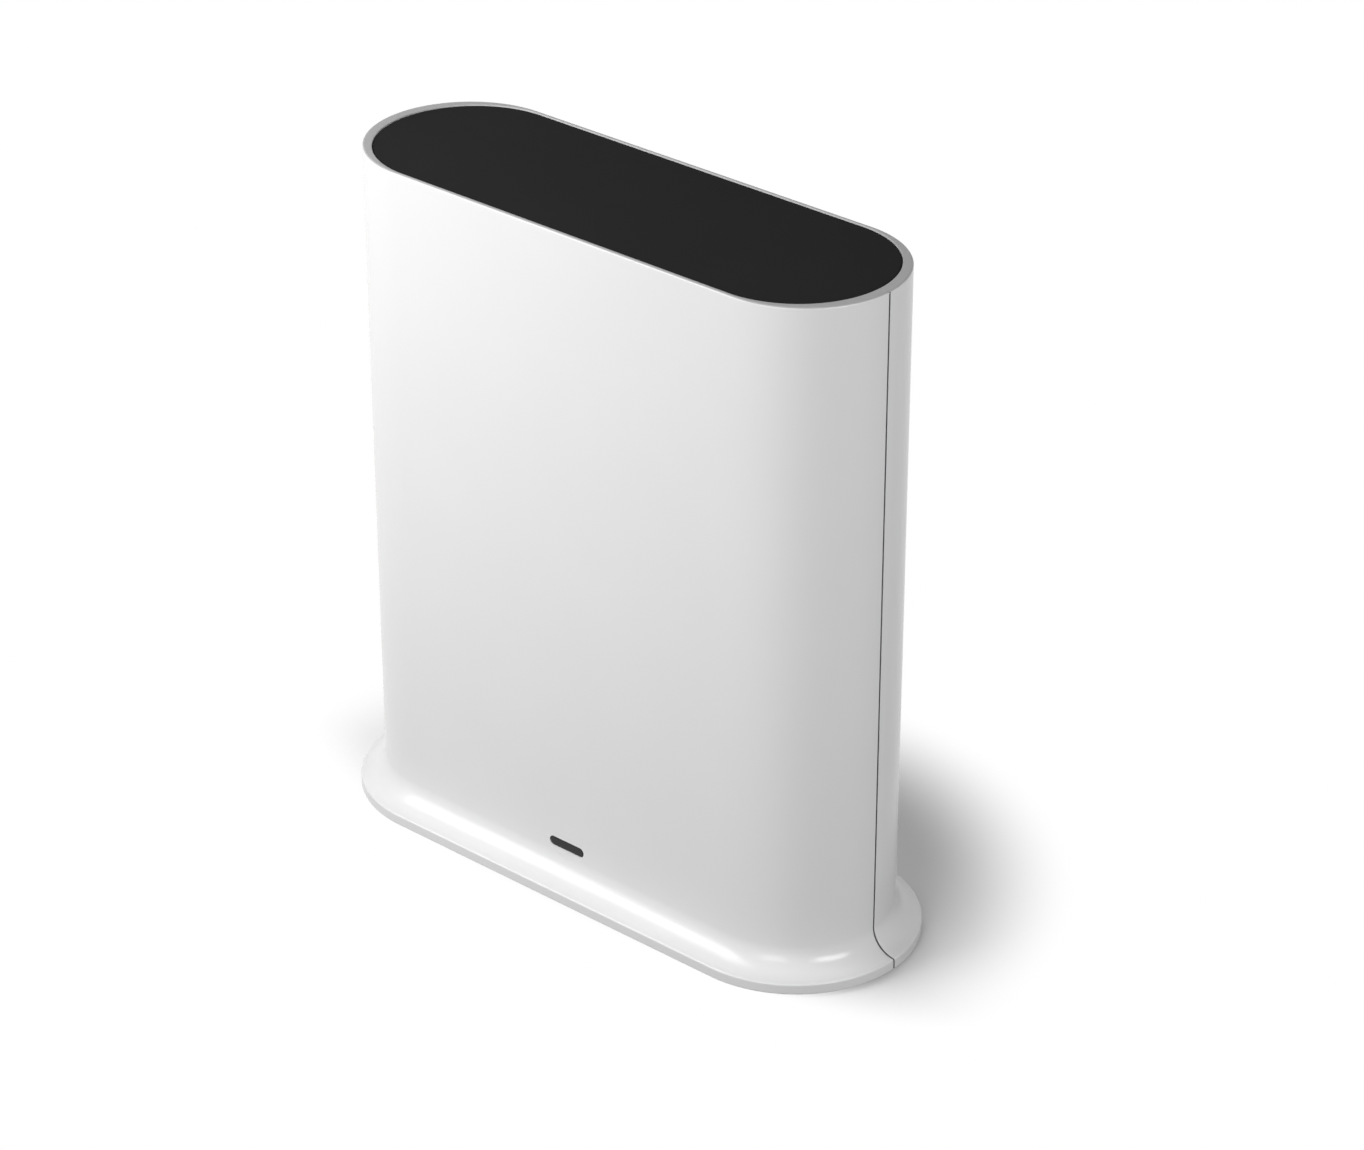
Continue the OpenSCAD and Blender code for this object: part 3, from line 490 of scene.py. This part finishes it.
def makeBasePlate():
    # racetrack slab with rounded lower edge; pad pockets, screw seats and vents are cut out of it
    out = body["flare"] - body["footWall"] - body["fit"]
    length = 2 * (body["straight"] + body["radius"] + out)
    width = 2 * (body["radius"] + out)
    r = basePlate["edgeRound"]
    low, high = body["bottom"], baseTop
    steps = np.vstack([arc((-r, low + r), r, -90, 0, basePlate["edgePoints"]), [(0.0, high)]])
    outlines = [racetrack(length + 2 * o, width + 2 * o, basePlate["endPoints"]) for o in steps[:, 0]]
    piece = makeMesh("basePlate", [loftZ(outlines, steps[:, 1])])
    pocket = disc(pads["radius"] + body["fit"], pads["pocketPoints"])
    padPlaces = fourPlaces(pads["x"], pads["y"])
    tools = [loftZ([pocket, pocket], (-past, pads["thickness"]), place) for place in padPlaces]
    seat = disc(basePlate["headRadius"] + body["fit"], basePlate["headPoints"])
    seatZ = low + basePlate["headSink"] + basePlate["headHeight"]
    ring = innerR - basePlate["bossRadius"] + basePlate["bossRoot"]
    turn = np.radians(basePlate["bossTurn"])
    screwPlaces = fourPlaces(body["straight"] + ring * np.cos(turn), ring * np.sin(turn))
    tools += [loftZ([seat, seat], (-past, seatZ), place) for place in screwPlaces]
    vent = racetrack(basePlate["ventLength"], basePlate["ventWidth"], basePlate["ventPoints"])[:, ::-1]
    wide = widened(vent, basePlate["ventChamfer"])
    heights = (low - past, low, low + basePlate["ventChamfer"], high + past)
    first = -(basePlate["ventCount"] - 1) / 2 * basePlate["ventPitch"]
    for i in range(basePlate["ventCount"]):
        tools.append(loftZ([wide, wide, vent, vent], heights, (first + i * basePlate["ventPitch"], 0.0)))
    cutOut(piece, tools)
    finishPiece(piece, "base_plate", "white_plastic", "hub")


def makePads():
    # low discs: a soft round runs into the underside, which is slightly dished inside a rim
    r, e = pads["radius"], pads["edgeRound"]
    profile = np.vstack([
        [(r, pads["thickness"]), (r, pads["shoulder"])],
        arc((r - e, e), e, 0, -90, pads["edgePoints"])[1:],
        np.add((r, 0.0), pads["dish"]),
    ])
    outlines = [disc(radius, pads["points"]) for radius in profile[:, 0]]
    parts = [loftZ(outlines, profile[:, 1], place) for place in fourPlaces(pads["x"], pads["y"])]
    finishPiece(makeMesh("footPads", parts), "foot_pads", "pad_rubber", "hub")


def makeWindow():
    # pill flush with the front, its edge eased, on a wider flange behind the wall
    gap = 2 * body["fit"]
    rim = 2 * window["flangeRim"]
    length, height, count = window["length"], window["height"], window["endPoints"]
    steps = np.vstack([np.add((0.0, -body["radius"]), window["edgeEase"]), [(0.0, -innerR)]])
    pills = [racetrack(length - gap + 2 * o, height - gap + 2 * o, count) for o in steps[:, 0]]
    flange = racetrack(length + rim, height + rim, count)
    centre = (0.0, window["z"])
    parts = [
        loftY(pills, steps[:, 1], centre),
        loftY([flange, flange], (-innerR, -innerR + window["flange"]), centre),
    ]
    finishPiece(makeMesh("statusWindow", parts), "status_window", "smoked_window", "hub")


def makeButton():
    # turned cap with an eased edge and a face dished as half an ellipse, on a collar that keeps it in
    # and a plunger
    low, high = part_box("sync_button")
    back, face = low[1] / mm, high[1] / mm
    collarR = (high[0] - low[0]) / mm / 2
    collar = bayY - body["wall"] - body["fit"] / 2
    collarBack = collar - button["collar"]
    r, e, plunger = button["radius"], button["edgeRound"], button["plunger"]
    rim = r - button["rim"]
    brim = face - button["rimDrop"]
    across = np.array(button["dishRows"])
    profile = np.vstack([
        [(button["tip"], back), (plunger, back), (plunger, collarBack)],
        [(collarR, collarBack), (collarR, collar), (r, collar)],
        arc((r - e, face - e), e, 0, 90, button["edgePoints"]),
        [(rim, brim)],
        np.stack([across * rim, brim - button["dish"] * np.sqrt(1 - across**2)], -1),
    ])
    outlines = [disc(radius, button["points"]) for radius in profile[:, 0]]
    part = loftY(outlines, profile[:, 1], (button["x"], bay["z"]))
    finishPiece(makeMesh("syncButton", [part]), "sync_button", "button_plastic", "sync_button")


makeTopPlate()
makeBasePlate()
makePads()
makeWindow()
makeButton()
print("plates, pads, window and button made")


# Materials

class Wire:
    # a node's socket; arithmetic and comparisons on it add Math nodes
    def __init__(self, tree, socket):
        self.tree = tree
        self.socket = socket

    def math(self, operation, first, second):
        node = self.tree.nodes.new("ShaderNodeMath")
        node.operation = operation
        for slot, value in zip(node.inputs, (first, second)):
            plug(self.tree, slot, value)
        return Wire(self.tree, node.outputs[0])

    def __add__(self, other):
        return self.math("ADD", self, other)

    def __radd__(self, other):
        return self.math("ADD", other, self)

    def __sub__(self, other):
        return self.math("SUBTRACT", self, other)

    def __rsub__(self, other):
        return self.math("SUBTRACT", other, self)

    def __mul__(self, other):
        return self.math("MULTIPLY", self, other)

    def __rmul__(self, other):
        return self.math("MULTIPLY", other, self)

    def __gt__(self, other):
        return self.math("GREATER_THAN", self, other)

    def __lt__(self, other):
        return self.math("LESS_THAN", self, other)

    def most(self, other):
        return self.math("MAXIMUM", self, other)

    def least(self, other):
        return self.math("MINIMUM", self, other)


def plug(tree, slot, value):
    if isinstance(value, Wire):
        tree.links.new(value.socket, slot)
    else:
        slot.default_value = value


class Finish:
    # the nodes of one material or world
    def __init__(self, owner):
        owner.use_nodes = True
        self.owner = owner
        self.tree = owner.node_tree
        self.tree.nodes.clear()

    def node(self, kind, settings=None, inputs=None, output=0):
        made = self.tree.nodes.new("ShaderNode" + kind)
        for key, value in (settings or {}).items():
            setattr(made, key, value)
        for key, value in (inputs or {}).items():
            plug(self.tree, made.inputs[key], value)
        return Wire(self.tree, made.outputs[output]) if made.outputs else None

    def axes(self, names):
        # the object's own coordinates, a socket for each axis that is named
        spot = self.node("TexCoord", output="Object")
        return [self.node("SeparateXYZ", None, {0: spot}, name) for name in names]

    def place(self, scale=(1, 1, 1), turn=(0, 0, 0)):
        spot = self.node("TexCoord", output="Object")
        return self.node("Mapping", None, {"Vector": spot, "Scale": scale, "Rotation": turn})

    def noise(self, scale, detail=3.0, stretch=(1, 1, 1)):
        inputs = {"Vector": self.place(stretch), "Scale": scale, "Detail": detail}
        return self.node("TexNoise", None, inputs)

    def blendColour(self, amount, first, second):
        return self.node("Mix", {"data_type": "RGBA"}, {0: amount, 6: first, 7: second}, 2)

    def smooth(self, value, start, end):
        inputs = {"Value": value, "From Min": start, "From Max": end}
        return self.node("MapRange", {"interpolation_type": "SMOOTHSTEP"}, inputs)

    def rays(self):
        # whether the camera, a reflection or a clear piece sees the surface
        kinds = ("Camera", "Glossy", "Transmission")
        return [self.node("LightPath", output=f"Is {kind} Ray") for kind in kinds]

    def bump(self, height, strength, depth):
        return self.node("Bump", None, {"Height": height, "Strength": strength, "Distance": depth})

    def show(self, inputs):
        shader = self.node("BsdfPrincipled", None, inputs)
        self.node("OutputMaterial", None, {"Surface": shader})
        return self.owner


def newFinish(name):
    return Finish(bpy.data.materials.new(name))


def rgb(value, g=None, b=None):
    return (value, value if g is None else g, value if b is None else b, 1.0)


# Scales of the patterns are in repeats per metre, depths of the bumps in metres
plastic = {"cloud": 45.0, "gloss": 160.0, "glossSpread": 0.06, "bump": 0.25, "ior": 1.49}


def moulded(name, dark, light, rough, grain, relief, specular=0.5):
    # moulded plastic: a faint cloud in its colour, uneven gloss and the fine texture of the mould
    f = newFinish(name)
    cloud = f.noise(plastic["cloud"], detail=4.0)
    fine = f.noise(grain, detail=2.0)
    spread = plastic["glossSpread"]
    return f.show({
        "Base Color": f.blendColour(cloud, dark, light),
        "Roughness": rough - spread / 2 + spread * f.noise(plastic["gloss"]),
        "Normal": f.bump(fine, plastic["bump"], relief),
        "IOR": plastic["ior"],
        "Specular IOR Level": specular,
    })


shellWhite = {
    # the rim colour is painted shade on the rim's up-facing flat, the groove colour painted shade in the
    # parting groove
    "dark": rgb(0.775), "light": rgb(0.80), "rim": rgb(0.50), "groove": rgb(0.22),
    "rough": 0.20, "roughSpread": 0.05, "rimRough": 0.2, "grain": 1500.0, "relief": 0.000006,
    "rimShadeFade": (0.26, 0.12),     # depths (mm) below the rim between which its grey sets in
    "plateMargin": 0.05,         # mm
    "grooveMargin": 0.007,
}


def shellFinish(name):
    # satin white moulding with painted shade: the flat on the rim is painted greyer, as shade of the
    # up-facing rim, and the parting groove holds a painted dark line of shade; the base plate, which has no
    # groove, is kept out of the line
    f = newFinish(name)
    cloud = f.noise(plastic["cloud"], detail=4.0)
    fine = f.noise(shellWhite["grain"], detail=2.0)
    x, y, z = f.axes("XYZ")
    # painted shade: the up-facing flat of the rim turns greyer between these depths
    rim = f.smooth(z, *((body["top"] - depth) * mm for depth in shellWhite["rimShadeFade"]))
    plateEnd = body["straight"] + body["radius"] + body["flare"] - body["footWall"]
    overPlate = z > (baseTop + shellWhite["plateMargin"]) * mm
    pastPlate = x.most(0 - x) > (plateEnd - shellWhite["plateMargin"]) * mm
    # painted shade: a dark line along the parting groove of the rear shell
    groove = (y > 0.0) * (y < (reveal + shellWhite["grooveMargin"]) * mm) * overPlate.most(pastPlate)
    white = f.blendColour(cloud, shellWhite["dark"], shellWhite["light"])
    white = f.blendColour(groove, white, shellWhite["groove"])
    uneven = shellWhite["roughSpread"] * f.noise(plastic["gloss"])
    return f.show({
        "Base Color": f.blendColour(rim, white, shellWhite["rim"]),
        "Roughness": shellWhite["rough"] + uneven + shellWhite["rimRough"] * rim,
        "Normal": f.bump(fine, plastic["bump"], shellWhite["relief"]),
        "IOR": plastic["ior"],
    })


metal = {
    "streaks": 700.0, "cloud": 90.0, "streakShare": 0.6,
    "glossDrop": 0.06, "glossSpread": 0.16, "bump": 0.3, "relief": 0.000004,
}


def sheetMetal(name, dark, light, rough, stretch):
    # rolled or drawn metal: streaks along one direction in its colour and its gloss
    f = newFinish(name)
    streaks = f.noise(metal["streaks"], detail=4.0, stretch=stretch)
    cloud = f.noise(metal["cloud"])
    share = metal["streakShare"]
    return f.show({
        "Base Color": f.blendColour(share * streaks + (1 - share) * cloud, dark, light),
        "Metallic": 1.0,
        "Roughness": rough - metal["glossDrop"] + metal["glossSpread"] * streaks,
        "Normal": f.bump(streaks, metal["bump"], metal["relief"]),
    })


board = {
    "runs": 260.0, "runWidth": 0.035, "vias": 420.0, "viaSize": 0.12,
    "mask": rgb(0.010, 0.075, 0.035), "maskOnCopper": rgb(0.03, 0.17, 0.075),
    "viaMetal": rgb(0.55, 0.45, 0.2),
    "rough": 0.32, "roughSpread": 0.1, "gloss": 300.0, "bump": 0.3, "relief": 0.00002,
}


def boardFinish(name):
    # solder mask over copper: runs show as lighter lines under the green, and vias as bare dots
    f = newFinish(name)
    upright = f.place(turn=(np.pi / 2, 0, 0))
    runs = f.node("TexBrick", None, {
        "Vector": upright, "Scale": board["runs"], "Mortar Size": board["runWidth"],
    }, "Fac")
    vias = f.node("TexVoronoi", None, {"Vector": f.place(), "Scale": board["vias"]}) < board["viaSize"]
    cover = f.blendColour(runs, board["mask"], board["maskOnCopper"])
    return f.show({
        "Base Color": f.blendColour(vias, cover, board["viaMetal"]),
        "Roughness": board["rough"] + board["roughSpread"] * f.noise(board["gloss"]),
        "Normal": f.bump(runs, board["bump"], board["relief"]),
    })


film = {
    "bands": 90.0, "waviness": 1.5, "waveDetail": 1.0,
    "amber": rgb(0.42, 0.2, 0.06), "copper": rgb(0.75, 0.42, 0.2),
    "metallic": 0.5, "rough": 0.45, "copperGloss": 0.12,
}


def filmFinish(name):
    # copper pattern on amber film
    f = newFinish(name)
    bands = f.node("TexWave", {"wave_type": "BANDS", "bands_direction": "X"}, {
        "Vector": f.place(), "Scale": film["bands"],
        "Distortion": film["waviness"], "Detail": film["waveDetail"],
    }, "Fac")
    return f.show({
        "Base Color": f.blendColour(bands, film["amber"], film["copper"]),
        "Metallic": film["metallic"] * bands,
        "Roughness": film["rough"] - film["copperGloss"] * bands,
    })


acrylic = {
    "haze": 400.0, "dark": rgb(0.86, 0.93, 0.94), "light": rgb(0.93, 0.97, 0.97),
    "rough": 0.05, "roughSpread": 0.08, "clear": 0.9,
}


def clearFinish(name):
    # clear acrylic with a faint haze
    f = newFinish(name)
    haze = f.noise(acrylic["haze"])
    return f.show({
        "Base Color": f.blendColour(haze, acrylic["dark"], acrylic["light"]),
        "Roughness": acrylic["rough"] + acrylic["roughSpread"] * haze,
        "Transmission Weight": acrylic["clear"],
        "IOR": plastic["ior"],
    })


rubber = {
    "dust": 220.0, "skin": 2600.0, "rough": 0.72, "roughSpread": 0.16, "bump": 0.5, "relief": 0.00003,
}


def rubberFinish(name, dark, light):
    # soft rubber: matt, dusty in patches, with a coarse skin
    f = newFinish(name)
    dust = f.noise(rubber["dust"], detail=5.0)
    skin = f.noise(rubber["skin"], detail=2.0)
    return f.show({
        "Base Color": f.blendColour(dust, dark, light),
        "Roughness": rubber["rough"] + rubber["roughSpread"] * dust,
        "Normal": f.bump(skin, rubber["bump"], rubber["relief"]),
    })


# Each finish: darker and lighter colour, roughness, then grain and relief of plastic or streak of metal
finishes = {
    "white_plastic": shellFinish("shellWhite"),
    "black_plate": moulded(
        "plateBlack", rgb(0.029, 0.029, 0.0295), rgb(0.034, 0.034, 0.0345), 0.6, 2200.0, 0.00001,
        specular=0.005),
    "smoked_window": moulded("windowSmoke", rgb(0.010), rgb(0.016), 0.16, 900.0, 0.000002, specular=0.3),
    "clear_plastic": clearFinish("pipeClear"),
    "led_body": moulded("ledResin", rgb(0.8, 0.78, 0.62), rgb(0.88, 0.86, 0.72), 0.3, 1500.0, 0.000006),
    "pad_rubber": rubberFinish("padRubber", rgb(0.045), rgb(0.085)),
    "screw_steel": sheetMetal("screwZinc", rgb(0.42, 0.42, 0.44), rgb(0.66, 0.66, 0.68), 0.34, (1, 1, 8)),
    "board_laminate": boardFinish("boardGreen"),
    "socket_steel": sheetMetal("socketTin", rgb(0.52, 0.52, 0.53), rgb(0.76, 0.76, 0.77), 0.3, (1, 6, 1)),
    "socket_plastic": moulded("socketBlack", rgb(0.012), rgb(0.022), 0.5, 1800.0, 0.00001),
    "tongue_plastic": moulded("tongueBlack", rgb(0.018), rgb(0.032), 0.45, 1800.0, 0.00001),
    "contact_metal": sheetMetal("contactGold", rgb(0.68, 0.48, 0.16), rgb(0.9, 0.7, 0.32), 0.24, (1, 8, 1)),
    "button_plastic": moulded("buttonWhite", rgb(0.70), rgb(0.73), 0.33, 1500.0, 0.000006),
    "stem_plastic": moulded(
        "stemNylon", rgb(0.68, 0.67, 0.63), rgb(0.76, 0.75, 0.71), 0.5, 1800.0, 0.00001),
    "chip_resin": moulded("chipResin", rgb(0.018), rgb(0.03), 0.55, 2600.0, 0.00001),
    "thermal_silicone": rubberFinish("padSilicone", rgb(0.42, 0.5, 0.6), rgb(0.55, 0.62, 0.7)),
    "sink_aluminium": sheetMetal(
        "sinkAluminium", rgb(0.62, 0.63, 0.64), rgb(0.84, 0.85, 0.86), 0.36, (1, 1, 10)),
    "ferrite": moulded("ferritePowder", rgb(0.10), rgb(0.17), 0.7, 1400.0, 0.00002),
    "can_aluminium": sheetMetal("canAluminium", rgb(0.55), rgb(0.74), 0.3, (1, 10, 1)),
    "antenna_film": filmFinish("antennaFilm"),
    "feed_metal": sheetMetal("feedTin", rgb(0.55, 0.55, 0.53), rgb(0.78, 0.78, 0.75), 0.4, (1, 1, 3)),
    "cable_jacket": moulded("cableJacket", rgb(0.015), rgb(0.028), 0.45, 1800.0, 0.000008),
}


def dress():
    # every CAD node takes the finish of its slot in the record, and every piece made here that of its own
    slots = {row["node"]: row["material_slot"] for row in frame["record"]["subparts"]}
    nodePieces = [(piece, slots[node]) for node, piece in frame["nodes"].items()]
    for piece, slotName in nodePieces + ownPieces:
        piece.data.materials.clear()
        piece.data.materials.append(finishes[slotName])


dress()
print("materials given:", len(finishes))


# Floor and light

studio = {
    "floorSize": 6.0,          # in metres
    "floorSeen": 0.80,         # the floor's colour near the part
    "floorMirrored": 1.0,
    "floorBounce": 0.15,
    "shadowRun": (-10, 14),    # stretch (mm) of the X axis round which the floor keeps its shadow
    "fade": (49, 83),          # distances (mm) from there over which it turns into the white backdrop
    "frontFade": 3.0,          # how much sooner it does so in front
    "worldLight": 0.12,
}
# Places and sizes of the lamps in millimetres; the one at the back isn't mirrored
lamps = {
    "key": {"at": (-110, -198, 290), "to": (-35, 0, 130), "size": (160, 160), "watts": 0.345},
    "keyLow": {"at": (-170, -300, 230), "to": (-35, 0, 110), "size": (160, 160), "watts": 0.445},
    "panel": {"at": (-288, -301, 203), "to": (-288, -62, -53), "size": (110, 331), "watts": 0.55},
    "front": {"at": (200, -450, 200), "to": (30, 0, 90), "size": (200, 200), "watts": 0.45},
    "side": {"at": (485, -87, 222), "to": (45, 0, 60), "size": (250, 150), "watts": 1.0},
    "back": {
        "at": (-330, 330, 160), "to": (-15, 20, 80), "size": (240, 180), "watts": 0.75, "mirrored": False,
    },
}


def makeFloor():
    # a large square that keeps the part's shadow and turns into the white backdrop further out
    half = studio["floorSize"] / 2
    mesh = bpy.data.meshes.new("floor")
    corners = [(-half, -half, 0), (half, -half, 0), (half, half, 0), (-half, half, 0)]
    mesh.from_pydata(corners, [], [(0, 1, 2, 3)])
    floor = bpy.data.objects.new("floor", mesh)
    bpy.context.scene.collection.objects.link(floor)
    f = newFinish("floorWhite")
    seen, glossy, through = f.rays()
    mirrored = glossy.most(through)
    colour = f.blendColour(mirrored, rgb(studio["floorBounce"]), rgb(studio["floorMirrored"]))
    colour = f.blendColour(seen, colour, rgb(studio["floorSeen"]))
    shaded = f.node("BsdfDiffuse", None, {"Color": colour})
    backdrop = f.node("Emission", None, {"Color": rgb(1.0), "Strength": 1.0})
    x, y = f.axes("XY")
    y = y.most(-studio["frontFade"] * y)
    left, right = (place * mm for place in studio["shadowRun"])
    beside = f.node("CombineXYZ", None, {"X": x - x.most(left).least(right), "Y": y})
    away = f.node("VectorMath", {"operation": "LENGTH"}, {0: beside}, "Value")
    near, far = (reach * mm for reach in studio["fade"])
    fade = f.smooth(away, near, far) * seen.most(mirrored)
    shader = f.node("MixShader", None, {0: fade, 1: shaded, 2: backdrop})
    f.node("OutputMaterial", None, {"Surface": shader})
    mesh.materials.append(f.owner)


def makeWorld():
    # white where it is seen or mirrored, and a low even light on everything
    world = bpy.data.worlds.new("studio")
    bpy.context.scene.world = world
    f = Finish(world)
    seen, glossy, through = f.rays()
    level = studio["worldLight"] + (1 - studio["worldLight"]) * seen.most(through).most(glossy)
    back = f.node("Background", None, {"Color": rgb(1.0), "Strength": level})
    f.node("OutputWorld", None, {"Surface": back})


def makeLamp(name, lamp):
    data = bpy.data.lights.new(name, "AREA")
    data.shape = "RECTANGLE"
    data.size, data.size_y = (side * mm for side in lamp["size"])
    data.energy = lamp["watts"]
    piece = bpy.data.objects.new(name, data)
    aimed(piece, lamp["at"], lamp["to"])
    piece.visible_camera = False
    piece.visible_glossy = lamp.get("mirrored", True)


makeFloor()
makeWorld()
for name, lamp in lamps.items():
    makeLamp(name, lamp)
bpy.context.scene.view_settings.view_transform = "Standard"
print("floor and light set")
